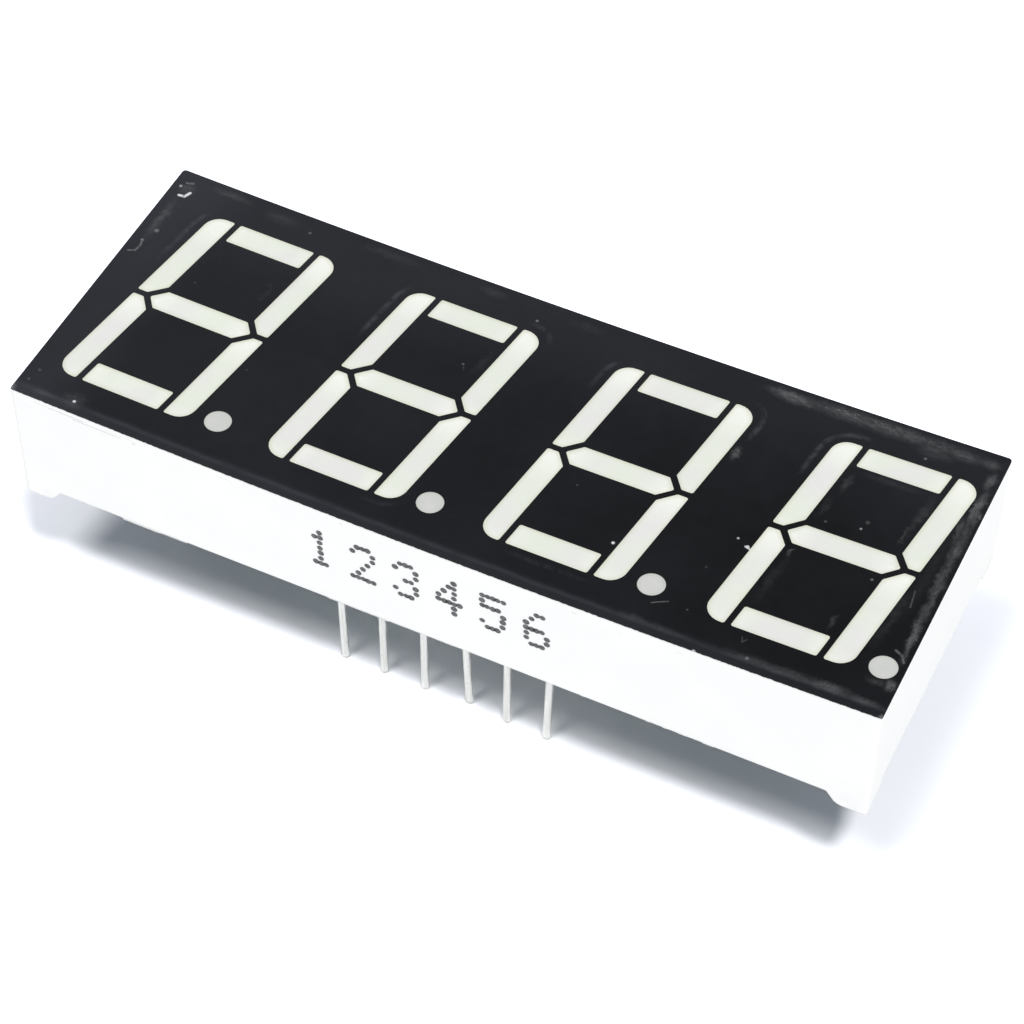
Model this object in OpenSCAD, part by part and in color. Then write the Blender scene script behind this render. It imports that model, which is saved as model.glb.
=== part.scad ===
// Four-digit seven-segment display module with twelve pins.
// The origin is at the centre of the pin grid, on the plane that the corner feet stand on.
// +X runs along the row of digits, +Y is the top of each digit and +Z leaves the printed face.

/* [Case] */
// Length of the case, along the row of digits
case_l = 50.3; // [50.2:0.1:51.5]
// Width of the case, across the row of digits
case_w = 19; // [18.8:0.1:20]
// Height of the case, from the tips of its feet to its front skin
case_h = 8.2; // [7.6:0.1:9]
// Thickness of the four side walls
wall_t = 0.7; // [0.6:0.05:0.75]
// Thickness of the front skin between the light wells
skin_t = 0.8; // [0.6:0.1:1.2]
// Thickness of the moulded wall around each light well
well_wall = 0.5; // [0.4:0.05:0.6]
// Radius of the upright corners of the case
corner_r = 0.2; // [0.2:0.05:0.6]
// Height of the four corner feet
foot_h = 0.8; // [0.5:0.1:1]
// Length of each foot, up to its step
foot_l = 1.7; // [1.3:0.1:2.5]
// How far the face dips at the middle of its length
face_bow = 0.45; // [0.1:0.05:0.55]
// Thickness of the black ink on the face
ink_t = 0.05; // [0.03:0.01:0.1]

/* [Digits] */
// Distance from one digit to the next
digit_pitch = 12.7; // [12.5:0.1:12.8]
// Shift of the row of digits to the right of the case's centre
digit_shift = 0.3; // [0:0.05:0.35]
// Height of a digit
digit_h = 14.2; // [13.8:0.1:14.3]
// Width of a digit, measured along its slanted sides
digit_w = 8.2; // [7.8:0.1:8.3]
// Lean of the digits from upright, in degrees
slant = 8; // [0:0.5:9]
// Thickness of the top and bottom bars
bar_t = 1.5; // [1.3:0.05:1.6]
// Thickness of the middle bar
middle_t = 1.48; // [1.3:0.02:1.6]
// Width of the upright bars
stem_w = 1.41; // [1.3:0.01:1.5]
// Gap between neighbouring segments
segment_gap = 0.34; // [0.25:0.01:0.4]
// Radius of the four outer ends of a digit
end_r = 1; // [0.6:0.1:1.1]
// Diameter of a decimal point
point_d = 1.5; // [1.3:0.1:1.6]

/* [Pins] */
// Diameter of a pin
pin_d = 0.45; // [0.4:0.05:0.5]
// Distance from one pin to the next in a row
pin_pitch = 2.54; // [2.54:0.01:2.54]
// Distance between the two rows of pins
row_pitch = 15.24; // [15.24:0.01:15.24]
// Length of a pin beyond the tips of the feet
pin_l = 6.65; // [3:0.05:8]

/* [Inside] */
// Thickness of the circuit board
board_t = 1.2; // [1:0.1:1.5]
// Depth of the light wells, from the front skin to the circuit board
well_depth = 4.8; // [4.5:0.1:5]
// Thickness of the clear resin behind the circuit board
resin_t = 0.9; // [0.8:0.05:1]
// Side of a light-emitting chip
chip_side = 0.3; // [0.2:0.05:0.35]
// Diameter of a bond wire
wire_d = 0.04; // [0.03:0.01:0.06]

/* [Hidden] */
DIGITS = [1, 2, 3, 4];
SEGMENTS = ["a", "b", "c", "d", "e", "f", "g"];
LAMPS = concat(SEGMENTS, ["point"]);
PINS_PER_ROW = 6;
PINS = [1:2 * PINS_PER_ROW];
BOW_STEPS = 24;

// Levels above the tips of the feet, where face_z is that of the face at its two ends
face_z = case_h;
bow_r = case_l * case_l / (8 * face_bow) + face_bow / 2;
board_top = case_h - well_depth;
board_bottom = board_top - board_t;
resin_z = board_bottom - resin_t;

// Segment outline, in upright digit coordinates with the origin at the digit's centre
top_v = digit_h / 2;
outer_u = digit_w / 2;
inner_u = outer_u - stem_w;
bar_u = inner_u - segment_gap;
tip_l = 0.67;
tip_u = inner_u + 0.46;
split_v = segment_gap / 2;
soft_r = 0.13;
point_u = outer_u + 1.46;
point_v = 0.76 - top_v;

// Shape of a light well below its straight lip
lip_h = 0.8;
floor_scale = 0.6;
point_floor_r = 0.6;
reach = 20;

// Copper, solder and chips
copper_t = 0.035;
board_gap = 0.1;
hole_d = 0.6;
pad_d = 1.3;
track_w = 0.3;
dot_d = 0.6;
solder_r = 0.6;
solder_h = 0.65;
chip_h = 0.2;
wire_span = 0.7;
bond_pad = 0.36;
stub_l = 0.9;
first_run_y = 6;
run_step = 1.1;
run_end_x = 21.5;
dot_step = 5.2;

// Pin roots and ends
root_r = pin_d / 2 + 0.02;
root_drop = 0.15;
head_d = 0.8;
head_h = 0.3;
head_room = 0.15;
tip_chamfer = 0.12;
shoulder_l = 0.6;
shoulder_r = 0.15;
foot_r = 0.7;
rib_t = 0.8;
cut = 1;
$fn = 48;

function segment_name(digit, s) = str("digit_", digit, "_segment_", s);
function point_name(digit) = str("digit_", digit, "_decimal_point");
function chips_name(digit) = str("digit_", digit, "_led_chips");
function wires_name(digit) = str("digit_", digit, "_bond_wires");
function pin_name(i) = str("pin_", i < 10 ? "0" : "", i);

// Outline helpers

function unit(v) = v / norm(v);

// Points of the arc that rounds corner b, between its neighbours a and c
function corner_arc(a, b, c, r) =
    let (
        to_a = unit(a - b),
        to_c = unit(c - b),
        half = acos(to_a * to_c) / 2,
        centre = b + unit(to_a + to_c) * r / sin(half),
        first = b + to_a * r / tan(half) - centre,
        last = b + to_c * r / tan(half) - centre,
        start = atan2(first[1], first[0]),
        turn = atan2(cross(first, last), first * last),
        steps = r < 0.3 ? 3 : 8
    )
    [for (k = [0:steps]) centre + r * [cos(start + turn * k / steps), sin(start + turn * k / steps)]];

// A closed outline with each corner rounded by its own radius
function rounded(points, radii) =
    let (n = len(points))
    [for (i = [0:n - 1]) each corner_arc(points[(i + n - 1) % n], points[i], points[(i + 1) % n], radii[i])];

function box_corners(l, w) = [[-l / 2, -w / 2], [l / 2, -w / 2], [l / 2, w / 2], [-l / 2, w / 2]];

module rounded_box(l, w, h, r) {
    linear_extrude(h)
        polygon(rounded(box_corners(l, w), [r, r, r, r]));
}

// Digit layout

function digit_x(digit) = (digit - (len(DIGITS) + 1) / 2) * digit_pitch + digit_shift;
function slanted(p) = [p[0] + p[1] * tan(slant), p[1]];

// The side of the digit that a segment is on: [left or right, top or bottom]
function side(s) =
    s == "a" ? [1, 1] :
    s == "b" ? [1, 1] :
    s == "c" ? [1, -1] :
    s == "d" ? [1, -1] :
    s == "e" ? [-1, -1] :
    s == "f" ? [-1, 1] : [1, 1];

function is_stem(s) = s == "b" || s == "c" || s == "e" || s == "f";
function mirrored(points, sides) = [for (p = points) [p[0] * sides[0], p[1] * sides[1]]];

// The slanted end of an upright bar runs parallel to the pointed end of the middle bar
tip_length = norm([tip_l, middle_t / 2]);
tip_normal = [middle_t / 2, tip_l] / tip_length;
end_line = tip_normal[0] * tip_u + segment_gap;
end_u = (end_line - tip_normal[1] * split_v) / tip_normal[0];
end_v = (end_line - tip_normal[0] * inner_u) / tip_normal[1];

// Corners of each kind of segment, on the top right side of the digit
stem_corners = [[outer_u, top_v], [inner_u, top_v], [inner_u, end_v], [end_u, split_v], [outer_u, split_v]];
bar_corners = [[bar_u, top_v], [-bar_u, top_v], [-bar_u, top_v - bar_t], [bar_u, top_v - bar_t]];
middle_corners = [
    [tip_u, 0], [tip_u - tip_l, middle_t / 2], [tip_l - tip_u, middle_t / 2],
    [-tip_u, 0], [tip_l - tip_u, -middle_t / 2], [tip_u - tip_l, -middle_t / 2]
];

function segment_corners(s) = is_stem(s) ? stem_corners : s == "g" ? middle_corners : bar_corners;
function segment_radii(s) = [for (i = [0:len(segment_corners(s)) - 1]) is_stem(s) && i == 0 ? end_r : soft_r];
function segment_outline(s) =
    rounded([for (p = mirrored(segment_corners(s), side(s))) slanted(p)], segment_radii(s));

// Size of a segment along u and v, and the middle of its well
function segment_size(s) =
    is_stem(s) ? [stem_w, top_v - split_v] :
    s == "g" ? [2 * tip_u, middle_t] : [2 * bar_u, bar_t];

function lamp_middle(s) =
    s == "point" ? [point_u + point_v * tan(slant), point_v] :
    is_stem(s) ? slanted(mirrored([[(outer_u + inner_u) / 2, (top_v + split_v) / 2]], side(s))[0]) :
    s == "g" ? [0, 0] : slanted(mirrored([[0, top_v - bar_t / 2]], side(s))[0]);

// Direction from a chip to the pad of its bond wire, with the inside of the digit on its left
function wire_angle(s) =
    s == "point" ? 90 :
    is_stem(s) ? (side(s)[0] > 0 ? 90 - slant : 270 - slant) :
    s == "a" ? 180 : 0;

// Half of a funnel's section: straight for the lip, then narrowing to the circuit board
module funnel_section(top_size) {
    top = top_size / 2 + 0.001;
    bottom = top_size / 2 * floor_scale;
    polygon([
        [-top, face_z + cut], [top, face_z + cut], [top, face_z - lip_h],
        [bottom, board_top], [-bottom, board_top], [-top, face_z - lip_h]
    ]);
}

// The light well of one segment: its outline, narrowed by two sloping pairs of walls
module segment_well(s) {
    size = segment_size(s);
    intersection() {
        translate([0, 0, board_top])
            linear_extrude(well_depth)
                polygon(segment_outline(s));
        translate(lamp_middle(s))
            rotate([90, 0, 90])
                linear_extrude(reach, center = true)
                    funnel_section(size[1]);
        translate(lamp_middle(s))
            rotate([0, 0, -slant])
                rotate([90, 0, 0])
                    linear_extrude(reach, center = true)
                        funnel_section(size[0] * cos(slant));
    }
}

module point_well() {
    translate(lamp_middle("point")) {
        translate([0, 0, face_z - lip_h])
            cylinder(d = point_d, h = lip_h);
        translate([0, 0, board_top])
            cylinder(r1 = point_floor_r, r2 = point_d / 2, h = well_depth - lip_h);
    }
}

module at_digit(digit) {
    translate([digit_x(digit), 0, 0])
        children();
}

module all_wells() {
    for (digit = DIGITS)
        at_digit(digit) {
            for (s = SEGMENTS)
                segment_well(s);
            point_well();
        }
}

module digit_outlines(digit) {
    translate([digit_x(digit), 0]) {
        for (s = SEGMENTS)
            polygon(segment_outline(s));
        translate(lamp_middle("point"))
            circle(d = point_d);
    }
}

function bow_x(i) = (i / BOW_STEPS - 0.5) * (case_l + 2 * cut);
function bow_dip(x) = bow_r - sqrt(bow_r * bow_r - x * x);

// All that is above a surface with its ends at this height, which dips by face_bow between them
module above_face(end_z) {
    top = end_z + 2 * cut;
    dip = [for (i = [0:BOW_STEPS]) [bow_x(i), end_z - face_bow + bow_dip(bow_x(i))]];
    rotate([90, 0, 0])
        linear_extrude(2 * case_w, center = true)
            polygon(concat([[-case_l, top], [-case_l, end_z + cut]], dip, [[case_l, end_z + cut], [case_l, top]]));
}

// Reflector case

// Hollows between the light wells, with a rib halfway between two digits
module core_outline() {
    difference() {
        square([case_l - 2 * wall_t, case_w - 2 * wall_t], center = true);
        for (digit = DIGITS)
            offset(delta = well_wall)
                digit_outlines(digit);
        for (digit = [1:len(DIGITS) - 1])
            translate([digit_x(digit) + digit_pitch / 2, 0])
                rotate(-slant)
                    square([rib_t, 2 * case_w], center = true);
    }
}

// What lies between the two feet of a wall of length l, and all that is below the feet
module foot_gap(l) {
    gap = l / 2 - foot_l;
    far = l / 2 + 2 * cut;
    corners = [
        [-far, -3 * cut], [far, -3 * cut], [far, 0], [gap, 0],
        [gap - shoulder_l, foot_h], [shoulder_l - gap, foot_h], [-gap, 0], [-far, 0]
    ];
    bends = [soft_r, soft_r, soft_r, foot_r, shoulder_r, shoulder_r, foot_r, soft_r];
    rotate([90, 0, 0])
        linear_extrude(2 * case_l, center = true)
            polygon(rounded(corners, bends));
}

module reflector_case() {
    color("white")
        difference() {
            translate([0, 0, -cut])
                rounded_box(case_l, case_w, case_h + 2 * cut, corner_r);
            above_face(face_z);
            translate([-case_l / 2 + wall_t, -case_w / 2 + wall_t, -2 * cut])
                cube([case_l - 2 * wall_t, case_w - 2 * wall_t, board_top + 2 * cut]);
            translate([0, 0, board_top - cut])
                linear_extrude(well_depth - skin_t + cut)
                    core_outline();
            all_wells();
            for (i = PINS)
                translate([pin_x(i), pin_y(i), board_top - cut])
                    cylinder(d = head_d + 2 * head_room, h = cut + head_h + head_room);
            foot_gap(case_l);
            rotate([0, 0, 90])
                foot_gap(case_w);
        }
}

module face_ink() {
    color([0.13, 0.13, 0.15])
        difference() {
            intersection() {
                translate([0, 0, board_top])
                    linear_extrude(well_depth + cut)
                        difference() {
                            polygon(rounded(box_corners(case_l, case_w), [for (i = [1:4]) corner_r]));
                            for (digit = DIGITS)
                                digit_outlines(digit);
                        }
                above_face(face_z);
            }
            above_face(face_z + ink_t);
        }
}

// Pins, numbered along the lower row from the left and back along the upper row

function in_lower_row(i) = i <= PINS_PER_ROW;
function pin_column(i) = in_lower_row(i) ? i - 1 : 2 * PINS_PER_ROW - i;
function pin_x(i) = (pin_column(i) - (PINS_PER_ROW - 1) / 2) * pin_pitch;
function pin_y(i) = (in_lower_row(i) ? -1 : 1) * row_pitch / 2;

// A pin grows slightly thicker just below the case, where its root runs up into the resin
module pin(i) {
    r = pin_d / 2;
    root_z = foot_h - root_drop;
    head = board_top + head_h;
    profile = [
        [0, -pin_l], [r - tip_chamfer, -pin_l], [r, tip_chamfer - pin_l], [r, root_z],
        [root_r, root_z + root_r - r], [root_r, board_top],
        [head_d / 2, board_top], [head_d / 2, head - tip_chamfer],
        [head_d / 2 - tip_chamfer, head], [0, head]
    ];
    color("silver")
        translate([pin_x(i), pin_y(i), 0])
            rotate_extrude()
                polygon(profile);
}

// Circuit board and its copper, which lies flush with the board on both sides

module board_blank() {
    translate([0, 0, board_bottom])
        rounded_box(case_l - 2 * (wall_t + board_gap), case_w - 2 * (wall_t + board_gap), board_t, corner_r);
}

module track(a, b, w) {
    translate(a)
        circle(d = w);
    translate(b)
        circle(d = w);
    translate((a + b) / 2)
        rotate(atan2(b[1] - a[1], b[0] - a[0]))
            square([norm(b - a), w], center = true);
}

module copper_dot(at, d) {
    translate(at)
        circle(d = d);
}

module pin_holes() {
    for (i = PINS)
        copper_dot([pin_x(i), pin_y(i)], hole_d);
}

// One pad under the chip and one for its bond wire, each with a lead to a plated dot
module chip_pads() {
    for (end = [-1, 1]) {
        pad = [end * wire_span / 2, 0];
        dot = pad + [0, stub_l];
        translate(pad)
            square(bond_pad, center = true);
        track(pad, dot, track_w / 2);
        copper_dot(dot, dot_d / 2);
    }
}

// Places its children at the chip of one segment or point
module at_chip(s) {
    translate(lamp_middle(s))
        rotate(wire_angle(s))
            children();
}

module chip_side_outline() {
    difference() {
        union() {
            for (digit = DIGITS)
                translate([digit_x(digit), 0])
                    for (s = LAMPS)
                        at_chip(s)
                            chip_pads();
            for (i = PINS)
                copper_dot([pin_x(i), pin_y(i)], pad_d);
        }
        pin_holes();
    }
}

// A pad around each pin, and a track that runs from it to the end of the board.
// The tracks of the outer pins turn first, so that none cross.
module pin_side_outline() {
    difference() {
        for (i = PINS) {
            x = pin_x(i);
            y = pin_y(i);
            order = (PINS_PER_ROW - 1) / 2 - abs(x) / pin_pitch;
            run_y = sign(y) * (first_run_y - order * run_step);
            corner = [x, run_y];
            copper_dot([x, y], pad_d);
            track([x, y], corner, track_w);
            track(corner, [sign(x) * run_end_x, run_y], track_w);
            for (k = [0:2])
                copper_dot([sign(x) * (run_end_x - k * dot_step - order), run_y], dot_d);
        }
        pin_holes();
    }
}

module chip_side_copper() {
    color("goldenrod")
        translate([0, 0, board_top - copper_t])
            linear_extrude(copper_t)
                chip_side_outline();
}

module pin_side_copper() {
    color("goldenrod")
        translate([0, 0, board_bottom])
            linear_extrude(copper_t)
                pin_side_outline();
}

module circuit_board() {
    color([0.2, 0.45, 0.25])
        difference() {
            board_blank();
            translate([0, 0, board_bottom - cut])
                linear_extrude(board_t + 2 * cut)
                    pin_holes();
            chip_side_copper();
            pin_side_copper();
        }
}

// Solder fills each hole around its pin and stands as a cone on the pin side
module solder_joint(i) {
    profile = [
        [root_r, board_top], [hole_d / 2, board_top], [hole_d / 2, board_bottom], [solder_r, board_bottom],
        [solder_r * 0.62, board_bottom - solder_h * 0.35], [root_r + 0.05, board_bottom - solder_h],
        [root_r, board_bottom - solder_h]
    ];
    translate([pin_x(i), pin_y(i), 0])
        rotate_extrude()
            polygon(profile);
}

module solder_joints() {
    color([0.75, 0.76, 0.78])
        for (i = PINS)
            solder_joint(i);
}

// Clear resin behind the board and in the gap around its edge
module back_resin() {
    color([0.85, 0.86, 0.8])
        difference() {
            translate([-case_l / 2 + wall_t, -case_w / 2 + wall_t, resin_z])
                cube([case_l - 2 * wall_t, case_w - 2 * wall_t, board_top - resin_z]);
            board_blank();
            for (i = PINS)
                translate([pin_x(i), pin_y(i), resin_z - cut])
                    cylinder(r = root_r, h = board_bottom - resin_z + 2 * cut);
            solder_joints();
        }
}

// Chips and bond wires at the foot of each light well

module led_chip() {
    translate([-wire_span / 2 - chip_side / 2, -chip_side / 2, board_top])
        cube([chip_side, chip_side, chip_h]);
}

// A wire loops from the top of the chip down to the pad beside it
module bond_wire() {
    translate([0, 0, board_top + chip_h])
        rotate([90, 0, 0])
            rotate_extrude(angle = 180)
                translate([wire_span / 2, 0])
                    circle(d = wire_d);
    translate([wire_span / 2, 0, board_top])
        cylinder(d = wire_d, h = chip_h);
}

module led_chips(digit) {
    color("gold")
        at_digit(digit)
            for (s = LAMPS)
                at_chip(s)
                    led_chip();
}

module bond_wires(digit) {
    color("gold")
        at_digit(digit)
            for (s = LAMPS)
                at_chip(s)
                    bond_wire();
}

// Milky resin fills each well around its chip and wire

module segment_window(digit, s) {
    color([0.93, 0.94, 0.9])
        at_digit(digit)
            difference() {
                segment_well(s);
                at_chip(s) {
                    led_chip();
                    bond_wire();
                }
                translate([-digit_x(digit), 0, 0])
                    above_face(face_z);
            }
}

module point_window(digit) {
    color([0.85, 0.86, 0.84])
        at_digit(digit)
            difference() {
                point_well();
                at_chip("point") {
                    led_chip();
                    bond_wire();
                }
                translate([-digit_x(digit), 0, 0])
                    above_face(face_z);
            }
}

reflector_case();
face_ink();
circuit_board();
chip_side_copper();
pin_side_copper();
solder_joints();
back_resin();
for (i = PINS)
    pin(i);
for (digit = DIGITS) {
    for (s = SEGMENTS)
        segment_window(digit, s);
    point_window(digit);
    led_chips(digit);
    bond_wires(digit);
}
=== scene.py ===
import math
import random
from functools import reduce

import bmesh
import bpy
from mathutils import Matrix, Vector
from mathutils.noise import noise as noise_value


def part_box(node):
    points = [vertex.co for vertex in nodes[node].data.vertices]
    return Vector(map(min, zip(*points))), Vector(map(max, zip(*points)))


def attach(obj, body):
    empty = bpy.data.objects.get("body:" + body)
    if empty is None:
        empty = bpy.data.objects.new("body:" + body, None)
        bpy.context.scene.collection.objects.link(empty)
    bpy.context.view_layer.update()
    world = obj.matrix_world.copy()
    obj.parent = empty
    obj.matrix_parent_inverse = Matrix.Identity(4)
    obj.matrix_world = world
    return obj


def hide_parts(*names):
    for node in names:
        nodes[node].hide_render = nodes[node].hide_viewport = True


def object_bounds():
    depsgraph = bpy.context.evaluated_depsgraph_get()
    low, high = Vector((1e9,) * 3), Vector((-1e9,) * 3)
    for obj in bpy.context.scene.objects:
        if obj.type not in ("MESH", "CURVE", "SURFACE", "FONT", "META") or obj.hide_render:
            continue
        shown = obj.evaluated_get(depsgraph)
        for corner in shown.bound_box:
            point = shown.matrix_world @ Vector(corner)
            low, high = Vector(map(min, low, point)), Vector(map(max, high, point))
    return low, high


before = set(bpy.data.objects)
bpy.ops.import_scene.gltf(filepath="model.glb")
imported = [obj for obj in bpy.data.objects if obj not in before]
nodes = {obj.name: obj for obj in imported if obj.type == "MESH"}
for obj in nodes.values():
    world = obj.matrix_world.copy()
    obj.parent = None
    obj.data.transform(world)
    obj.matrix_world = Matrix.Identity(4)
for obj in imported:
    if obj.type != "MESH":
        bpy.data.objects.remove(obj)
cad_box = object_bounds()

MM = 0.001

# Camera: where it aims, how far off it stands, and its angles
CAMERA_AIM = (2.93, -5.4, 8.25)
CAMERA_DISTANCE = 161.2
CAMERA_AZIMUTH = 25.43
CAMERA_ELEVATION = 49.89
CAMERA_ROLL = 0.45
CAMERA_LENS = 108.86
SENSOR_WIDTH = 36

# Lamps: azimuth from the front towards the right, elevation, width in degrees and strength
STEEP_LAMPS = {
    "right_lamp": (48.2, 69, 9, 1.53),
    "left_lamp": (-33.9, 68.8, 19, 1.14),
}
SIDE_LAMPS = {
    "front_lamp": (-34, 0.6, 1, 1.56),
    "end_lamp": (75, 0.6, 1, 2.1),
    "back_lamp": (195, 0.6, 1, 1.8),
}
STEEP_COLOUR = (1, 0.985, 0.955)
SIDE_COLOUR = (0.97, 0.985, 1)
SKY = 0.192
SKY_COLOUR = (0.79, 0.865, 1)

# Floor: half its side in metres, its gap under the lowest point, its colour as the camera sees it
# and its colour as it lights the part
FLOOR_SIZE = 3.0
FLOOR_GAP = 0.02
FLOOR_SEEN = (1.42, 1.445, 1.54)
FLOOR_COLOUR = (0.4, 0.4, 0.4)


# Shader values


class Value:
    """One socket of a material, which Python's operators carry on with Math nodes."""

    def __init__(self, tree, socket=None):
        self.tree = tree
        self.socket = socket

    def node(self, kind, settings=None, inputs=None, output=0):
        """Adds a node: its settings first, then the values or links of its sockets."""
        made = self.tree.nodes.new(kind)
        for name, value in (settings or {}).items():
            if name == "stops":
                for stop, (place, colour) in zip(made.color_ramp.elements, value):
                    stop.position = place
                    stop.color = colour
            else:
                setattr(made, name, value)
        for name, value in (inputs or {}).items():
            if isinstance(value, Value):
                self.tree.links.new(value.socket, made.inputs[name])
            else:
                made.inputs[name].default_value = value
        return Value(self.tree, made.outputs[output] if made.outputs else None)

    def math(self, operation, *others):
        values = dict(enumerate((self,) + others))
        return self.node("ShaderNodeMath", {"operation": operation}, values)

    def __add__(self, other):
        return self.math("ADD", other)

    __radd__ = __add__

    def __mul__(self, other):
        return self.math("MULTIPLY", other)

    __rmul__ = __mul__

    def __sub__(self, other):
        return self.math("SUBTRACT", other)

    def __rsub__(self, other):
        return (self * -1) + other

    def __truediv__(self, other):
        return self.math("DIVIDE", other)

    def __pow__(self, other):
        return self.math("POWER", other)

    def __abs__(self):
        return self.math("ABSOLUTE")

    def least(self, other):
        return self.math("MINIMUM", other)

    def most(self, other):
        return self.math("MAXIMUM", other)

    def ease(self, start, end):
        """0 at start, 1 at end and smooth between them."""
        settings = {"interpolation_type": "SMOOTHSTEP"}
        return self.node("ShaderNodeMapRange", settings, {0: self, 1: start, 2: end})


def parts(at):
    """The x, y and z of a place."""
    return [at.node("ShaderNodeSeparateXYZ", {}, {0: at}, axis) for axis in "XYZ"]


def stretch(at, scale):
    """A place scaled along each axis."""
    return at.node("ShaderNodeVectorMath", {"operation": "MULTIPLY"}, {0: at, 1: scale})


def noise(at, scale, detail=2.0, rough=0.5, warp=0.0):
    return at.node("ShaderNodeTexNoise", {}, {
        "Vector": at, "Scale": scale, "Detail": detail, "Roughness": rough, "Distortion": warp,
    })


def colour_mix(factor, first, second):
    """The first colour where factor is 0 and the second where it is 1."""
    inputs = {0: factor, 6: (*first, 1) if isinstance(first, tuple) else first}
    inputs[7] = (*second, 1) if isinstance(second, tuple) else second
    return factor.node("ShaderNodeMix", {"data_type": "RGBA"}, inputs, 2)


def length(u, v):
    return (u * u + v * v) ** 0.5


def strongest(values):
    """The greatest of several values, wherever they overlap."""
    return reduce(Value.most, values)


def spot(x, y, place, size, turn=0.0, core=0.3):
    """1 in the middle of an oval at this place and 0 outside it."""
    c, s = math.cos(math.radians(turn)), math.sin(math.radians(turn))
    dx, dy = x - place[0], y - place[1]
    across = (dx * c + dy * s) / size[0]
    up = (dy * c - dx * s) / size[1]
    return length(across, up).ease(1, core)


def stroke(x, y, start, end, width):
    """1 along a line from start to end and 0 beyond its width."""
    run = (end[0] - start[0], end[1] - start[1])
    square = run[0] ** 2 + run[1] ** 2
    dx, dy = x - start[0], y - start[1]
    along = ((dx * run[0] + dy * run[1]) / square).most(0).least(1)
    return length(dx - along * run[0], dy - along * run[1]).ease(width, width * 0.3)


def finish(name, vary, fixed):
    """A material whose varying sockets come from vary(at), with places in millimetres."""
    material = bpy.data.materials.new(name)
    material.use_nodes = True
    tree = material.node_tree
    tree.nodes.clear()
    at = Value(tree).node("ShaderNodeTexCoord", {}, {}, "Object")
    at = at.node("ShaderNodeVectorMath", {"operation": "SCALE"}, {0: at, 3: 1 / MM})
    surface = at.node("ShaderNodeBsdfPrincipled", {}, {**fixed, **vary(at)})
    surface.node("ShaderNodeOutputMaterial", {}, {"Surface": surface})
    return material


def bump(height, reach=1.0, normal=None):
    """A normal from a height in millimetres."""
    inputs = {"Height": height, "Distance": MM, "Strength": reach}
    if normal:
        inputs["Normal"] = normal
    return height.node("ShaderNodeBump", {}, inputs)


def soft_edges(at, radius):
    """A normal rounded by this radius, in millimetres, along sharp edges."""
    return at.node("ShaderNodeBevel", {"samples": 6}, {"Radius": radius * MM})


def near_edge(at, reach):
    """1 close to the edges of a piece and 0 well inside it."""
    settings = {"inside": True, "only_local": True, "samples": 6}
    inner = at.node("ShaderNodeAmbientOcclusion", settings, {"Distance": reach * MM}, "AO")
    return inner.ease(0.95, 0.55)


# Measures that come from the frame, in millimetres


def span(node):
    low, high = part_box(node)
    return low / MM, high / MM


case_low, case_high = span("reflector_case")
ink_low = span("face_ink")[0]
digit_low, digit_high = span("digit_1_segment_g")
DIGIT_PITCH = (span("digit_4_segment_g")[0].x - digit_low.x) / 3
FIRST_DIGIT_X = (digit_low.x + digit_high.x) / 2
DIGIT_TOP = span("digit_1_segment_a")[1].y
STEM_MIDDLE = DIGIT_TOP / 2
PIN_TIP_Z = span("pin_01")[0].z

# Half the width of a digit, the radius of its outer corners and its lean
DIGIT_SIDE = 4.1
DIGIT_CORNER = 1.0
DIGIT_SLANT = math.tan(math.radians(8))

# How far outside a digit its rim runs
RIM_GAP = 0.52


def digit_place(at):
    """Places across and up the nearest digit, from its middle, as if it stood upright."""
    x, y = parts(at)[:2]
    across = (x - FIRST_DIGIT_X).math("WRAP", DIGIT_PITCH / 2, -DIGIT_PITCH / 2)
    return across - y * DIGIT_SLANT, y


# Case, with the faint rubs and specks on the front wall under the face: from, to, width, strength

WALL_MARKS = [
    ((-22.7, 7.93), (-20.6, 7.86), 0.08, 0.6), ((-21.2, 7.74), (-18.3, 7.66), 0.08, 0.6),
    ((-19.4, 7.88), (-17.2, 7.8), 0.06, 0.35), ((-23.6, 7.98), (-22.8, 7.95), 0.07, 0.4),
    ((-17.55, 7.62), (-17.42, 7.62), 0.1, 0.6), ((-5.05, 7.52), (-4.95, 7.52), 0.09, 0.5),
    ((8.3, 7.5), (8.55, 7.48), 0.06, 0.6), ((-12.4, 7.6), (-11.6, 7.57), 0.06, 0.3),
    ((14.2, 7.5), (14.5, 7.48), 0.06, 0.35),
]


def case_surface(at):
    x, y, z = parts(at)
    cloud = noise(at, 0.25, 3)
    grain = noise(at, 6, 3, 0.6)
    base = colour_mix(cloud.ease(0.3, 0.7), (0.9, 0.905, 0.9), (0.925, 0.925, 0.915))
    top = case_high.z
    under_face = z.ease(top - 1.3, top - 0.9) * z.ease(top - 0.25, top - 0.6)
    rubbed = noise(stretch(at, (0.5, 1, 5)), 1, 4, 0.7).ease(0.6, 0.72)
    left_end = x.ease(-17.5, -21)
    marks = rubbed * under_face * (left_end * 0.5 + 0.12)
    foot = z.ease(1.6, 0.2) * noise(at, 1.2, 3).ease(0.45, 0.75) * 0.15
    rubs = strongest(
        stroke(x, z, start, end, width) * weight for start, end, width, weight in WALL_MARKS
    )
    rubs = rubs * y.ease(case_low.y + 0.15, case_low.y + 0.05) * grain.ease(0.3, 0.5)
    base = colour_mix((marks + foot + rubs).least(1), base, (0.6, 0.6, 0.6))
    draw_lines = noise(stretch(at, (3, 3, 0.15)), 1, 2)
    height = grain * 0.004 + draw_lines * 0.003
    return {
        "Base Color": base,
        "Roughness": grain.ease(0.2, 0.8) * 0.12 + 0.42,
        "Normal": bump(height, normal=soft_edges(at, 0.07)),
    }


# Marks in the ink: flecks as place, radius and brightness; scratches as points, width and
# brightness; smudges as place, half sizes, turn and brightness; places where the raised rim round a
# digit shows, as place, half sizes and strength, where the rim also gets a painted highlight. The
# flecks and scratches along the left edge, at x about -24.4 and y from 2.4 to 8.8, are painted
# glints off small blisters in the ink; the others are real specks and scratches.

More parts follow.
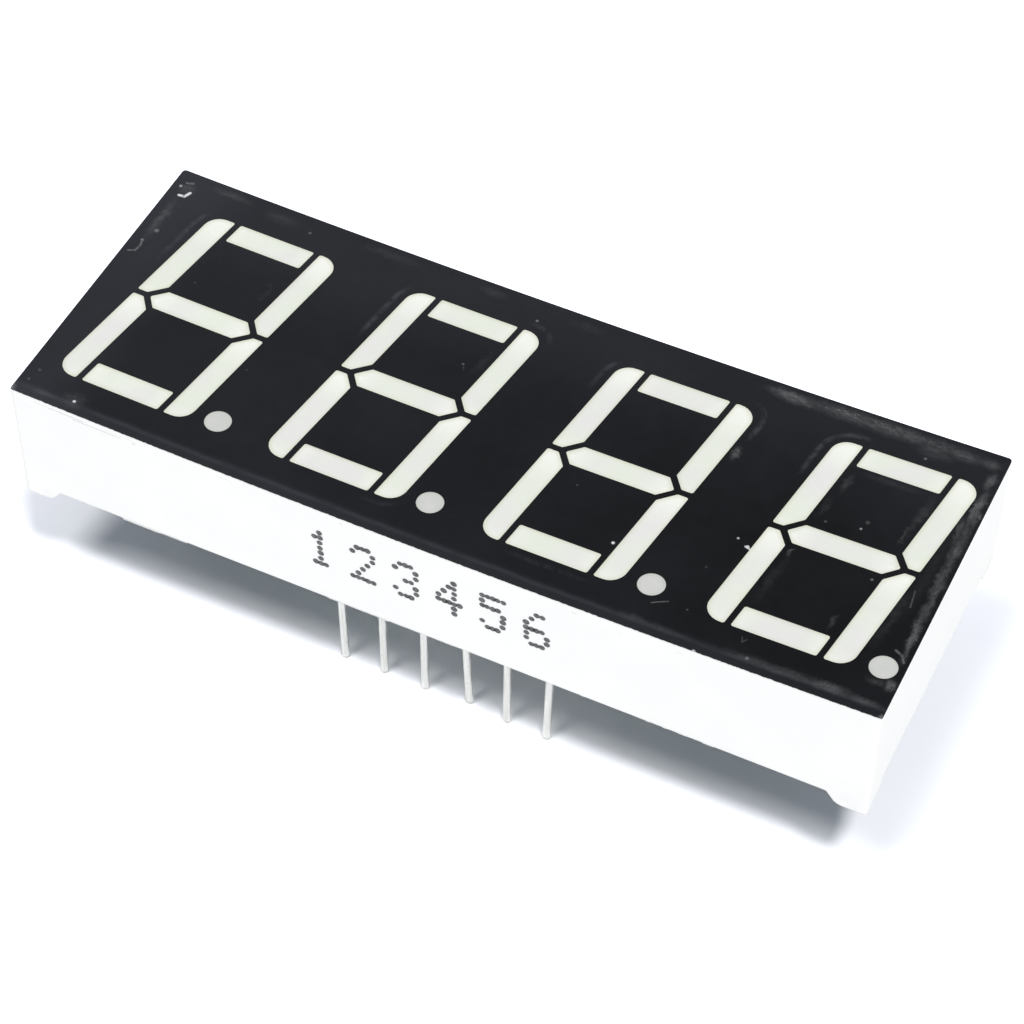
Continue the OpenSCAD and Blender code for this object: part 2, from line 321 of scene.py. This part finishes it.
FLECKS_AND_GLINTS = [
    (-21.6, -8.63, 0.13, 0.75), (-24.42, -7.53, 0.12, 0.06), (-14.5, -2.4, 0.08, 0.04),
    (-16.35, 8.33, 0.13, 0.08), (-4.2, 3.25, 0.1, 0.1), (-1.97, 7.95, 0.12, 0.15),
    (5.05, -1.9, 0.08, 0.06), (8.4, -4.68, 0.13, 0.8), (14.13, -1.62, 0.1, 0.5),
    (14.8, -1.95, 0.13, 0.8), (19.65, 1.65, 0.1, 0.3), (19.82, 2.2, 0.17, 0.05),
    (-24.65, 8.24, 0.14, 0.3), (-24.1, 4.52, 0.2, 0.12), (-24.45, 3.52, 0.14, 0.15),
    (17.8, 1.35, 0.12, 0.06), (13.65, -7.1, 0.1, 0.05), (13.4, -4.1, 0.12, 0.03),
    (17.62, -8.7, 0.16, 0.12), (20.95, 7.62, 0.12, 0.12), (21.42, -1.3, 0.12, 0.12),
    (-24.6, -8.35, 0.12, 0.05), (15.0, -9.42, 0.14, 0.5), (-20.2, 2.0, 0.1, 0.03),
]
SCRATCHES_AND_GLINTS = [
    ([(11.8, -7.46), (12.1, -7.27), (12.55, -7.02)], 0.055, 0.1),
    ([(-24.43, 3.5), (-24.33, 3.1), (-24.4, 2.62), (-24.75, 2.45)], 0.09, 0.1),
    ([(-24.38, 7.56), (-24.05, 7.6), (-23.9, 7.98)], 0.13, 0.8),
    ([(-24.45, 8.6), (-24.1, 8.72)], 0.12, 0.1),
    ([(14.7, -1.98), (14.92, -2.04)], 0.1, 0.6),
    ([(16.88, -7.55), (16.98, -7.85), (17.15, -7.6)], 0.06, 0.04),
    ([(23.7, -1.1), (23.85, -2.2)], 0.07, 0.06),
    ([(24.2, -5.1), (24.6, -5.3), (24.85, -5.7)], 0.1, 0.1),
    ([(-4.1, 3.1), (-4.0, 2.9)], 0.05, 0.04),
]
SMUDGES = [
    (18.2, 8.82, 8.0, 0.7, 0, 0.07), (12.9, 8.78, 1.9, 0.6, -4, 0.11),
    (16.0, 8.9, 2.6, 0.55, 0, 0.08), (21.2, 8.4, 1.6, 0.9, 0, 0.045),
    (22.8, 8.65, 1.6, 0.6, 0, 0.065), (24.2, 8.7, 0.8, 0.5, 0, 0.07),
    (-5.05, 8.85, 1.0, 0.5, 0, 0.028), (-11.5, 8.85, 2.6, 0.45, 0, 0.018),
    (-21.7, 8.9, 1.7, 0.4, 0, 0.035), (-18.3, 8.6, 1.6, 0.6, 0, 0.02),
    (0.8, 8.7, 1.6, 0.5, 0, 0.012), (11.72, 3.75, 0.3, 0.75, 0, 0.1),
    (24.66, 0.6, 0.42, 8.5, 0, 0.075), (24.68, -3.9, 0.34, 2.5, 2, 0.12),
    (24.7, -1.0, 0.32, 2.2, 0, 0.1), (24.62, 2.2, 0.4, 2.0, 3, 0.09),
    (24.66, 5.4, 0.4, 1.9, 0, 0.16), (24.6, 7.5, 0.4, 1.0, 0, 0.09),
    (24.3, 3.6, 0.35, 1.5, 0, 0.07), (23.9, 0.2, 0.5, 5.0, -2, 0.012),
    (24.78, -7.35, 0.4, 0.55, 0, 0.13), (24.0, -7.35, 0.8, 0.35, 0, 0.04),
    (23.3, -3.2, 0.45, 3.2, -8, 0.022), (19.6, -8.7, 4.6, 0.4, 0, 0.045),
    (17.6, -8.72, 1.3, 0.3, 0, 0.04), (19.6, -8.68, 0.9, 0.4, 0, 0.055),
    (22.0, -8.65, 1.8, 0.5, 0, 0.08), (24.0, -8.75, 1.2, 0.35, 0, 0.06),
    (13.0, -8.75, 1.6, 0.3, 0, 0.02), (11.4, -8.7, 1.2, 0.3, 0, 0.03),
    (17.0, -1.35, 0.18, 0.5, -10, 0.07), (16.75, -3.4, 0.4, 2.6, -8, 0.015),
    (20.68, -4.7, 0.22, 0.8, -5, 0.045), (17.8, 4.3, 0.3, 1.1, -8, 0.035),
    (22.1, 3.6, 0.35, 2.3, -8, 0.03), (21.82, 2.2, 0.14, 1.1, -4, 0.045),
    (20.0, 5.25, 2.4, 0.35, 0, 0.02), (17.35, 2.2, 0.3, 1.2, -8, 0.02),
    (-16.35, 3.1, 0.3, 1.1, -4, 0.012), (-24.33, 5.4, 0.4, 2.3, 0, 0.055),
    (-24.2, 8.2, 0.7, 0.6, 0, 0.05), (-21.6, -8.55, 0.9, 0.8, 0, 0.04),
    (-23.4, -8.9, 0.9, 0.3, 0, 0.03), (-3.3, 3.8, 0.4, 1.4, -8, 0.015),
    (-25.1, -9.3, 0.35, 0.4, 0, 0.3), (25.05, -9.35, 0.3, 0.25, 0, 0.2),
]
RIM_RIDGES_AND_HIGHLIGHTS = [
    (-9.8, 4.8, 1.2, 3.0, 1.0), (-1.3, 7.2, 1.2, 1.0, 0.5), (11.9, 6.3, 1.0, 1.8, 0.9),
    (2.9, 6.2, 0.9, 1.8, 0.6), (15.6, 5.6, 1.0, 2.8, 0.9), (16.8, 7.6, 1.6, 0.9, 0.7),
    (-22.5, 4.8, 0.9, 3.6, 0.7), (-3, -7.6, 2.4, 0.6, 0.25), (6, -7.6, 3, 0.6, 0.3),
]


def digit_rim(at):
    """A soft line a little way outside the nearest digit."""
    across, up = digit_place(at)
    out = abs(across) - (DIGIT_SIDE - DIGIT_CORNER), abs(up) - (DIGIT_TOP - DIGIT_CORNER)
    corner = length(out[0].most(0), out[1].most(0))
    gap = corner + out[0].most(out[1]).least(0) - DIGIT_CORNER
    return abs(gap - RIM_GAP).ease(0.24, 0.03)


def ink_surface(at):
    x, y = parts(at)[:2]
    fine = noise(at, 4.5, 3, 0.65)
    blotch = noise(at, 1.3, 4, 0.65, 0.5)
    broad = noise(at, 0.16, 3)

    # Painted sheen: the ink is made lighter towards its left end and its back edge, standing in for
    # haze reflected off the satin ink; the noise terms after it are its own uneven tone.
    level = x.ease(22, -22) * 0.0085 + y.ease(1, 9) * 0.0085 + x.ease(-19.5, -24) * 0.013
    level = level + (broad - 0.5) * 0.012 + (blotch - 0.5) * 0.004 + 0.0085

    rim_ridge_and_highlight = strongest(
        spot(x, y, (place_x, place_y), (wide, high)) * weight
        for place_x, place_y, wide, high, weight in RIM_RIDGES_AND_HIGHLIGHTS
    )
    rim = digit_rim(at)
    # Painted highlight along the raised rim round the digits where it shows; the same mask raises
    # the rim in the bump below.
    level = level + rim * rim_ridge_and_highlight * blotch.ease(0.3, 0.6) * 0.04

    # Painted highlight: a light line near the front edge of the face, where the ink rolls over the
    # edge, and a lighter band in front of that line.
    lip_y = (noise(stretch(at, (0.4, 0, 0)), 1, 3, 0.5) - 0.5) * 0.24 + (ink_low.y + 0.64)
    lip_highlight = abs(y - lip_y).ease(0.2, 0.04)
    lip_highlight = lip_highlight * noise(stretch(at, (0.5, 0.2, 0)), 1, 2).ease(0.25, 0.5)
    past_lip_sheen = (y - lip_y).ease(0.42, -0.05)
    level = level + lip_highlight * 0.012 + past_lip_sheen * (x.ease(24, 16) * 0.005 + 0.0065)

    smear = blotch - 0.5
    smeared_x, smeared_y = x + smear * 0.9, y - smear * 0.5
    smudge = strongest(
        spot(smeared_x, smeared_y, (place_x, place_y), (wide, high), turn, 0.0) * weight
        for place_x, place_y, wide, high, turn, weight in SMUDGES
    )
    lengthwise = noise(stretch(at, (1.6, 4, 1)), 1, 4, 0.7)
    crosswise = noise(stretch(at, (4.5, 1.3, 1)), 1, 4, 0.7)
    streak = lengthwise + (crosswise - lengthwise) * x.ease(23.7, 24.2)
    texture = streak.ease(0.36, 0.66) * 0.4 + fine.ease(0.42, 0.62) * 0.22 + 0.38
    smudge = smudge * texture

    # Specks and scratches in the ink, among them painted glints off small blisters along the left
    # edge.
    flecks_and_glints = strongest(
        spot(x, y, (place_x, place_y), (radius, radius)) * bright
        for place_x, place_y, radius, bright in FLECKS_AND_GLINTS
    )
    skips = fine.ease(0.3, 0.5)
    scratches_and_glints = strongest(
        stroke(x, y, start, end, width) * skips * bright
        for points, width, bright in SCRATCHES_AND_GLINTS
        for start, end in zip(points, points[1:])
    )
    bare_specks_and_glints = flecks_and_glints.most(scratches_and_glints)
    base = colour_mix(level.least(1), (0, 0, 0), (0.91, 0.965, 1.16))
    base = colour_mix(smudge.most(bare_specks_and_glints), base, (0.96, 0.985, 1.0))
    ragged = (noise(stretch(at, (3, 0, 0)), 1, 4, 0.7) - 0.5) * 0.16 + (ink_low.y + 0.06)
    base = colour_mix((ragged - y).ease(-0.015, 0.015), base, (0.9, 0.9, 0.89))

    blisters = smudge.ease(0.02, 0.08) * blotch
    height = rim * rim_ridge_and_highlight * 0.02 + fine * 0.004 + blisters * 0.05 + broad * 0.03
    return {
        "Base Color": base,
        "Roughness": (fine * 0.16 + 0.36 + smudge * 2).least(0.75),
        "Normal": bump(height, 0.8),
    }


# Milky windows, brighter towards their upper ends and warmer along their edges


def window_surface(at):
    across, up = digit_place(at)
    stem = abs(across).ease(2.4, 2.7)
    along = abs(up) - STEM_MIDDLE
    along = along * up.ease(-0.01, 0.01) - along * up.ease(0.01, -0.01)
    tall_end = along.ease(0.6, 3.4) * 0.9 + along.ease(-2.4, -3.5) * 0.35
    bar_end = abs(across).ease(1.2, 2.6) * 0.5
    end = stem * tall_end + (1 - stem) * bar_end
    cloud = noise(at, 0.3, 3).ease(0.35, 0.65)
    base = colour_mix(cloud, (0.845, 0.85, 0.825), (0.845, 0.885, 0.79))
    base = colour_mix(end.least(1) * 0.95, base, (0.985, 1.0, 0.94))
    base = colour_mix(near_edge(at, 0.35) * 0.5, base, (0.66, 0.68, 0.5))
    return {
        "Base Color": base,
        "Roughness": noise(at, 3, 3).ease(0.2, 0.8) * 0.1 + 0.3,
        "Normal": bump(noise(at, 0.9, 2) * 0.03 + noise(at, 7, 2) * 0.003),
    }


def point_surface(at):
    cloud = noise(at, 1.2, 3).ease(0.3, 0.7)
    base = colour_mix(cloud, (0.63, 0.64, 0.625), (0.68, 0.685, 0.67))
    base = colour_mix(near_edge(at, 0.3) * 0.5, base, (0.56, 0.58, 0.51))
    return {
        "Base Color": base,
        "Roughness": noise(at, 4, 2) * 0.1 + 0.3,
        "Normal": bump(noise(at, 2.5, 2) * 0.01),
    }


# Metals


def pin_surface(at):
    z = parts(at)[2]
    drawn = noise(stretch(at, (7, 7, 0.35)), 1, 3, 0.6)
    dull = noise(at, 1.4, 4, 0.6).ease(0.45, 0.75)
    pits = noise(at, 4.5, 2).ease(0.7, 0.76)
    base = colour_mix(drawn.ease(0.35, 0.65), (0.83, 0.84, 0.85), (0.7, 0.71, 0.71))
    base = colour_mix(dull * 0.5, base, (0.68, 0.69, 0.67))
    tip = z.ease(PIN_TIP_Z + 0.16, PIN_TIP_Z + 0.02)
    base = colour_mix((pits * 0.6 + tip * 0.75).least(1), base, (0.36, 0.34, 0.32))
    return {
        "Base Color": base,
        "Roughness": dull * 0.15 + drawn * 0.15 + 0.32 + tip * 0.2,
        "Normal": bump(drawn * 0.02 + dull * 0.008),
    }


def solder_surface(at):
    frost = noise(at, 3, 4, 0.6)
    return {
        "Base Color": colour_mix(frost.ease(0.3, 0.7), (0.62, 0.63, 0.64), (0.78, 0.78, 0.77)),
        "Roughness": frost * 0.2 + 0.22,
        "Normal": bump(frost * 0.02),
    }


def copper_surface(at):
    y = parts(at)[1]
    tinned = abs(y).ease(6.6, 6.9)
    mottle = noise(at, 1.3, 3)
    mask = colour_mix(mottle.ease(0.3, 0.7), (0.035, 0.2, 0.075), (0.045, 0.24, 0.095))
    tin = colour_mix(mottle.ease(0.3, 0.7), (0.66, 0.66, 0.65), (0.76, 0.76, 0.74))
    return {
        "Base Color": colour_mix(tinned, mask, tin),
        "Metallic": tinned * 0.9,
        "Roughness": mottle * 0.15 + 0.3,
        "Normal": bump(mottle * 0.01),
    }


def plated_surface(at):
    mottle = noise(at, 2, 3)
    return {
        "Base Color": colour_mix(mottle.ease(0.3, 0.7), (0.7, 0.52, 0.22), (0.8, 0.62, 0.3)),
        "Roughness": mottle * 0.2 + 0.25,
    }


def board_surface(at):
    weave = noise(stretch(at, (5, 0.8, 1)), 1, 2) * 0.5
    weave = weave + noise(stretch(at, (0.8, 5, 1)), 1, 2) * 0.5
    mottle = noise(at, 0.5, 3)
    base = colour_mix(weave.ease(0.4, 0.6), (0.007, 0.043, 0.019), (0.01, 0.056, 0.026))
    base = colour_mix(mottle.ease(0.5, 0.8) * 0.4, base, (0.015, 0.07, 0.034))
    return {
        "Base Color": base,
        "Roughness": mottle * 0.15 + 0.3,
        "Normal": bump(weave * 0.01),
    }


# Clear resin, with a few small bubbles and cloudy patches


def resin_surface(at):
    cloud = noise(at, 0.3, 3)
    bubbles = at.node(
        "ShaderNodeTexVoronoi", {"feature": "F1"}, {"Vector": at, "Scale": 0.45}, "Distance",
    )
    bubble = bubbles.ease(0.075, 0.05)
    swirl = noise(at, 0.6, 2, 0.5, 1.5)
    base = colour_mix(cloud.ease(0.3, 0.7), (0.8, 0.82, 0.74), (0.86, 0.87, 0.82))
    return {
        "Base Color": base,
        "Roughness": cloud * 0.12 + 0.1,
        "Alpha": cloud.ease(0.3, 0.9) * 0.08 + 0.05 + bubble * 0.15,
        "Normal": bump(swirl * 0.05 - bubble * 0.03),
    }


def print_surface(at):
    mottle = noise(at, 7, 3, 0.6)
    return {
        "Base Color": colour_mix(
            mottle.ease(0.35, 0.7), (0.055, 0.057, 0.062), (0.14, 0.145, 0.15),
        ),
        "Roughness": mottle * 0.2 + 0.5,
        "Normal": bump(mottle * 0.01),
    }


# New pieces


def make_piece(name, shape, material, smooth=True):
    """Turns a bmesh in millimetres into a piece of the model."""
    bmesh.ops.scale(shape, vec=(MM, MM, MM), verts=shape.verts)
    mesh = bpy.data.meshes.new(name)
    shape.to_mesh(mesh)
    shape.free()
    mesh.polygons.foreach_set("use_smooth", [smooth] * len(mesh.polygons))
    mesh.materials.append(material)
    piece = bpy.data.objects.new(name, mesh)
    bpy.context.scene.collection.objects.link(piece)
    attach(piece, "root")
    return piece


# Pin numbers, one over each pin of the front row, in rows of dots
NUMBER_DOTS = {
    1: ("..#..", ".##..", "..#..", "..#..", "..#..", "..#..", ".###."),
    2: (".###.", "#...#", "....#", "...#.", "..#..", ".#...", "#####"),
    3: (".###.", "#...#", "....#", "..##.", "....#", "#...#", ".###."),
    4: ("...#.", "..##.", ".#.#.", "#..#.", "#####", "...#.", "...#."),
    5: ("#####", "#....", "####.", "....#", "....#", "#...#", ".###."),
    6: ("..##.", ".#...", "#....", "####.", "#...#", "#...#", ".###."),
}
DOT_STEP_X = 0.3
DOT_STEP_Z = 0.42
DOT_R = 0.185
DOT_DEPTH = 0.02
DOT_SHAKE = 0.02
NUMBER_TOP_Z = 6.1


def pin_numbers(material):
    shape = bmesh.new()
    chance = random.Random(4)
    facing_front = Matrix.Rotation(math.radians(90), 4, "X")
    for number, rows in NUMBER_DOTS.items():
        low, high = span(f"pin_{number:02d}")
        middle = (low.x + high.x) / 2
        for row, dots in enumerate(rows):
            for column, dot in enumerate(dots):
                if dot == "#":
                    x = middle + (column - 2) * DOT_STEP_X + chance.uniform(-DOT_SHAKE, DOT_SHAKE)
                    z = NUMBER_TOP_Z - row * DOT_STEP_Z + chance.uniform(-DOT_SHAKE, DOT_SHAKE)
                    r = DOT_R * chance.uniform(0.9, 1.1)
                    place = Matrix.Translation((x, case_low.y - DOT_DEPTH / 4, z))
                    bmesh.ops.create_cone(
                        shape, cap_ends=True, segments=14, radius1=r * 0.9, radius2=r,
                        depth=DOT_DEPTH, matrix=place @ facing_front,
                    )
    bmesh.ops.recalc_face_normals(shape, faces=shape.faces)
    make_piece("pin_numbers", shape, material, smooth=False)


# Pins with the small bends and cut tips of used ones: how far each tip leans, across and up the row
PIN_LEANS = {
    1: (0.07, 0.03), 2: (-0.01, 0.02), 3: (0.0, 0.0),
    4: (0.12, 0.2), 5: (0.0, -0.09), 6: (-0.08, -0.19),
    7: (0.05, -0.08), 8: (-0.06, 0.05), 9: (0.02, 0.1),
    10: (0.0, -0.04), 11: (0.08, 0.06), 12: (-0.04, 0.02),
}
PIN_R = 0.225
PIN_ROOT_R = 0.245
PIN_ROOT_Z = 0.68
PIN_TIP_CUT = 0.1
PIN_BEND_Z = 0.5
PIN_FACETS = 28


def pin_piece(number, material):
    low, high = span(f"pin_{number:02d}")
    middle = (low + high) / 2
    r, head_r = PIN_R, (high.x - low.x) / 2
    board_z = span("circuit_board")[1].z
    chance = random.Random(number)
    shape = bmesh.new()
    levels = [(r * 0.86, low.z), (r * 1.02, low.z + 0.04)]
    levels += [(r * 1.08, low.z + 0.14), (r * 1.05, low.z + 0.35)]
    levels += [(r, low.z + up) for up in (0.8, 2, 3.2, 4.4, 5.6)]
    levels += [(r, PIN_BEND_Z), (r, PIN_ROOT_Z - 0.03)]
    levels += [(PIN_ROOT_R, PIN_ROOT_Z), (PIN_ROOT_R, board_z - 0.01)]
    levels += [(head_r, board_z - 0.01), (head_r, high.z - 0.1), (head_r - 0.1, high.z)]
    outline = [shape.verts.new((radius, 0, z)) for radius, z in levels]
    for first, second in zip(outline, outline[1:]):
        shape.edges.new((first, second))
    bmesh.ops.spin(
        shape, geom=shape.verts[:] + shape.edges[:], cent=(0, 0, 0), axis=(0, 0, 1), dvec=(0, 0, 0),
        angle=math.tau, steps=PIN_FACETS, use_merge=True, use_duplicate=False,
    )
    bmesh.ops.holes_fill(shape, edges=[e for e in shape.edges if e.is_boundary], sides=0)
    turn = chance.uniform(0, math.tau)
    lean = PIN_LEANS[number]
    for vert in shape.verts:
        tip = max(0.0, 1 - (vert.co.z - low.z) / 0.5)
        if tip > 0:
            vert.co.x *= 1 + 0.12 * tip
            slope = (math.cos(turn) * vert.co.x + math.sin(turn) * vert.co.y) / r
            vert.co.z += PIN_TIP_CUT * max(0.0, slope) * tip
        drop = max(0.0, (PIN_BEND_Z - vert.co.z) / (PIN_BEND_Z - low.z))
        vert.co.x += middle.x + lean[0] * drop ** 1.4
        vert.co.y += middle.y + lean[1] * drop ** 1.4
    bmesh.ops.recalc_face_normals(shape, faces=shape.faces)
    piece = make_piece(f"bent_pin_{number:02d}", shape, material)
    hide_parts(f"pin_{number:02d}")


# Back resin: it creeps up the walls and the pins, and sinks a little between them
RESIN_CELL = 0.35
RESIN_OVERLAP = 0.02
BOARD_GAP = 0.02
CREEP = 0.3
CREEP_REACH = 0.45
PIN_CREEP = 0.24
PIN_CREEP_REACH = 0.3
SINK = 0.05


def back_resin_piece(material):
    low, high = span("back_resin")
    board_z = span("circuit_board")[0].z
    width = high.x - low.x + 2 * RESIN_OVERLAP
    depth = high.y - low.y + 2 * RESIN_OVERLAP
    pins = [(span(f"pin_{n:02d}")[0] + span(f"pin_{n:02d}")[1]) / 2 for n in PIN_LEANS]
    shape = bmesh.new()
    bmesh.ops.create_grid(
        shape, x_segments=round(width / RESIN_CELL), y_segments=round(depth / RESIN_CELL), size=0.5,
    )
    bmesh.ops.scale(shape, vec=(width, depth, 1), verts=shape.verts)
    for vert in shape.verts:
        wall = min(width / 2 - abs(vert.co.x), depth / 2 - abs(vert.co.y))
        pin = min(math.hypot(vert.co.x - p.x, vert.co.y - p.y) for p in pins)
        creep = CREEP * math.exp(-wall / CREEP_REACH)
        creep += PIN_CREEP * math.exp(-max(0, pin - 0.2) / PIN_CREEP_REACH)
        sink = SINK * math.cos(vert.co.x * 0.35 + 1) * math.cos(vert.co.y * 0.4)
        vert.co.z = low.z + sink - creep
    lower = shape.faces[:]
    raised = bmesh.ops.extrude_face_region(shape, geom=lower, use_keep_orig=True)
    for vert in [v for v in raised["geom"] if isinstance(v, bmesh.types.BMVert)]:
        vert.co.z = board_z - BOARD_GAP
    bmesh.ops.recalc_face_normals(shape, faces=shape.faces)
    piece = make_piece("back_resin_fill", shape, material)
    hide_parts("back_resin")


# A thin ragged lip that the mould left under the walls: from, to and how deep, along the front wall
LIP_RUNS = [
    (-21.3, -20.5, 0.1), (-18.9, -16.5, 0.17), (-16.5, -14.8, 0.12), (-6.1, -3.0, 0.09),
    (-3.0, -2.4, 0.12), (-2.4, 1.6, 0.06), (8.9, 9.2, 0.06), (12.6, 13.0, 0.06),
    (13.6, 13.95, 0.07), (14.5, 15.1, 0.06), (15.9, 16.6, 0.08),
]
BACK_LIP_RUNS = [
    (-19.5, -17.2, 0.1), (-11.0, -8.4, 0.12), (-2.0, 3.1, 0.07), (6.4, 7.0, 0.1),
    (12.2, 16.8, 0.12),
]
LIP_CELL = 0.1
LIP_WIDTH = 0.6
LIP_INSET = 0.02
LIP_END_GAP = 1.8
WALL_FOOT_Z = 0.8


def mould_lip(material):
    shape = bmesh.new()
    long = case_high.x - case_low.x - 2 * LIP_END_GAP
    for wall_y, runs, seed in ((case_low.y, LIP_RUNS, 0.3), (case_high.y, BACK_LIP_RUNS, 5.7)):
        inward = -1 if wall_y > 0 else 1
        strip = bmesh.new()
        bmesh.ops.create_grid(strip, x_segments=round(long / LIP_CELL), y_segments=6, size=0.5)
        for vert in strip.verts:
            inner = 0.5 + inward * vert.co.y
            vert.co.x *= long
            vert.co.y = wall_y + inward * (LIP_INSET + LIP_WIDTH / 2) + vert.co.y * LIP_WIDTH
            drop = 0.006 + 0.012 * noise_value((vert.co.x * 2, seed, 0))
            for start, end, depth in runs:
                inside = min(vert.co.x - start, end - vert.co.x)
                drop = max(drop, depth * min(1, max(0, inside / 0.12 + 0.5)))
            drop += 0.02 * noise_value((vert.co.x * 4, seed, 1))
            vert.co.z = WALL_FOOT_Z - max(0.002, drop) * (1 - inner ** 2)
        raised = bmesh.ops.extrude_face_region(strip, geom=strip.faces[:], use_keep_orig=True)
        for vert in [v for v in raised["geom"] if isinstance(v, bmesh.types.BMVert)]:
            vert.co.z = WALL_FOOT_Z + 0.05
        bmesh.ops.recalc_face_normals(strip, faces=strip.faces)
        part = bpy.data.meshes.new("strip")
        strip.to_mesh(part)
        strip.free()
        shape.from_mesh(part)
        bpy.data.meshes.remove(part)
    make_piece("mould_lip", shape, material)


# Camera, light and floor


def direction(azimuth, elevation):
    turn, rise = math.radians(azimuth), math.radians(elevation)
    across = math.cos(rise)
    return Vector((across * math.sin(turn), -across * math.cos(turn), math.sin(rise)))


def add_camera():
    away = direction(CAMERA_AZIMUTH, CAMERA_ELEVATION)
    data = bpy.data.cameras.new("camera")
    data.lens = CAMERA_LENS
    data.sensor_width = SENSOR_WIDTH
    data.clip_start = 0.005
    data.clip_end = 20
    camera = bpy.data.objects.new("camera", data)
    facing = away.to_track_quat("Z", "Y").to_matrix().to_4x4()
    place = (Vector(CAMERA_AIM) + away * CAMERA_DISTANCE) * MM
    roll = Matrix.Rotation(math.radians(CAMERA_ROLL), 4, "Z")
    camera.matrix_world = Matrix.Translation(place) @ facing @ roll
    bpy.context.scene.collection.objects.link(camera)
    bpy.context.scene.camera = camera


def add_lamp(name, colour, azimuth, elevation, wide, strength):
    data = bpy.data.lights.new(name, "SUN")
    data.energy = strength
    data.color = colour
    data.angle = math.radians(wide)
    lamp = bpy.data.objects.new(name, data)
    lamp.rotation_euler = direction(azimuth, elevation).to_track_quat("Z", "Y").to_euler()
    bpy.context.scene.collection.objects.link(lamp)


def rays(start, *kinds):
    """1 for rays of these kinds."""
    found = [start.node("ShaderNodeLightPath", {}, {}, f"Is {kind} Ray") for kind in kinds]
    return found[0] if len(found) == 1 else found[0].most(found[1])


def add_sky():
    world = bpy.data.worlds.new("sky")
    world.use_nodes = True
    world.node_tree.nodes.clear()
    start = Value(world.node_tree)
    light = start.node("ShaderNodeBackground", {}, {"Color": (*SKY_COLOUR, 1), "Strength": SKY})
    white = start.node("ShaderNodeBackground", {}, {"Color": (1, 1, 1, 1), "Strength": 1})
    shown = rays(start, "Camera").most(rays(start, "Glossy", "Transmission"))
    both = start.node("ShaderNodeMixShader", {}, {0: shown, 1: light, 2: white})
    both.node("ShaderNodeOutputWorld", {}, {"Surface": both})
    bpy.context.scene.world = world


def add_floor():
    shape = bmesh.new()
    bmesh.ops.create_grid(shape, x_segments=1, y_segments=1, size=FLOOR_SIZE)
    bmesh.ops.translate(shape, vec=(0, 0, cad_box[0][2] - FLOOR_GAP * MM), verts=shape.verts)
    mesh = bpy.data.meshes.new("floor")
    shape.to_mesh(mesh)
    shape.free()
    material = bpy.data.materials.new("floor_white")
    material.use_nodes = True
    tree = material.node_tree
    tree.nodes.clear()
    start = Value(tree)
    colour = colour_mix(rays(start, "Glossy", "Transmission"), FLOOR_COLOUR, (1.0, 1.0, 1.0))
    colour = colour_mix(rays(start, "Camera"), colour, FLOOR_SEEN)
    surface = start.node("ShaderNodeBsdfDiffuse", {}, {"Color": colour})
    surface.node("ShaderNodeOutputMaterial", {}, {"Surface": surface})
    mesh.materials.append(material)
    floor = bpy.data.objects.new("floor", mesh)
    bpy.context.scene.collection.objects.link(floor)


add_camera()
add_sky()
add_floor()
for lamps, colour in ((STEEP_LAMPS, STEEP_COLOUR), (SIDE_LAMPS, SIDE_COLOUR)):
    for name, places in lamps.items():
        add_lamp(name, colour, *places)
bpy.context.scene.view_settings.view_transform = "Standard"

metal = {"Metallic": 1.0}
finishes = {
    "case_white": finish("white_plastic", case_surface, {"Specular IOR Level": 0.4}),
    "face_black": finish("black_ink", ink_surface, {"Specular IOR Level": 0.04}),
    "window_milky": finish("milky_resin", window_surface, {}),
    "point_milky": finish("grey_milky_resin", point_surface, {}),
    "board_green": finish("green_board", board_surface, {}),
    "copper": finish("masked_copper", copper_surface, {}),
    "solder": finish("solder", solder_surface, metal),
    "resin_clear": finish("clear_resin", resin_surface, {}),
    "pin_tin": finish("tinned_wire", pin_surface, metal),
    "chip_gold": finish("gold_plate", plated_surface, metal),
    "print": finish("grey_print", print_surface, {}),
}


NODE_FINISHES = {
    "reflector_case": "case_white", "face_ink": "face_black", "circuit_board": "board_green",
    "chip_side_copper": "copper", "pin_side_copper": "copper", "solder_joints": "solder",
    "back_resin": "resin_clear",
}
ENDING_FINISHES = {"_point": "point_milky", "_chips": "chip_gold", "_wires": "chip_gold"}


def finish_for(name):
    """The finish of a node of the frame, by its name."""
    if name in NODE_FINISHES:
        return NODE_FINISHES[name]
    for ending, slot in ENDING_FINISHES.items():
        if name.endswith(ending):
            return slot
    return "pin_tin" if name.startswith("pin_") else "window_milky"


for name, node in nodes.items():
    for place in range(len(node.material_slots)):
        node.material_slots[place].material = finishes[finish_for(name)]

pin_numbers(finishes["print"])
for number in PIN_LEANS:
    pin_piece(number, finishes["pin_tin"])
back_resin_piece(finishes["resin_clear"])
mould_lip(finishes["case_white"])
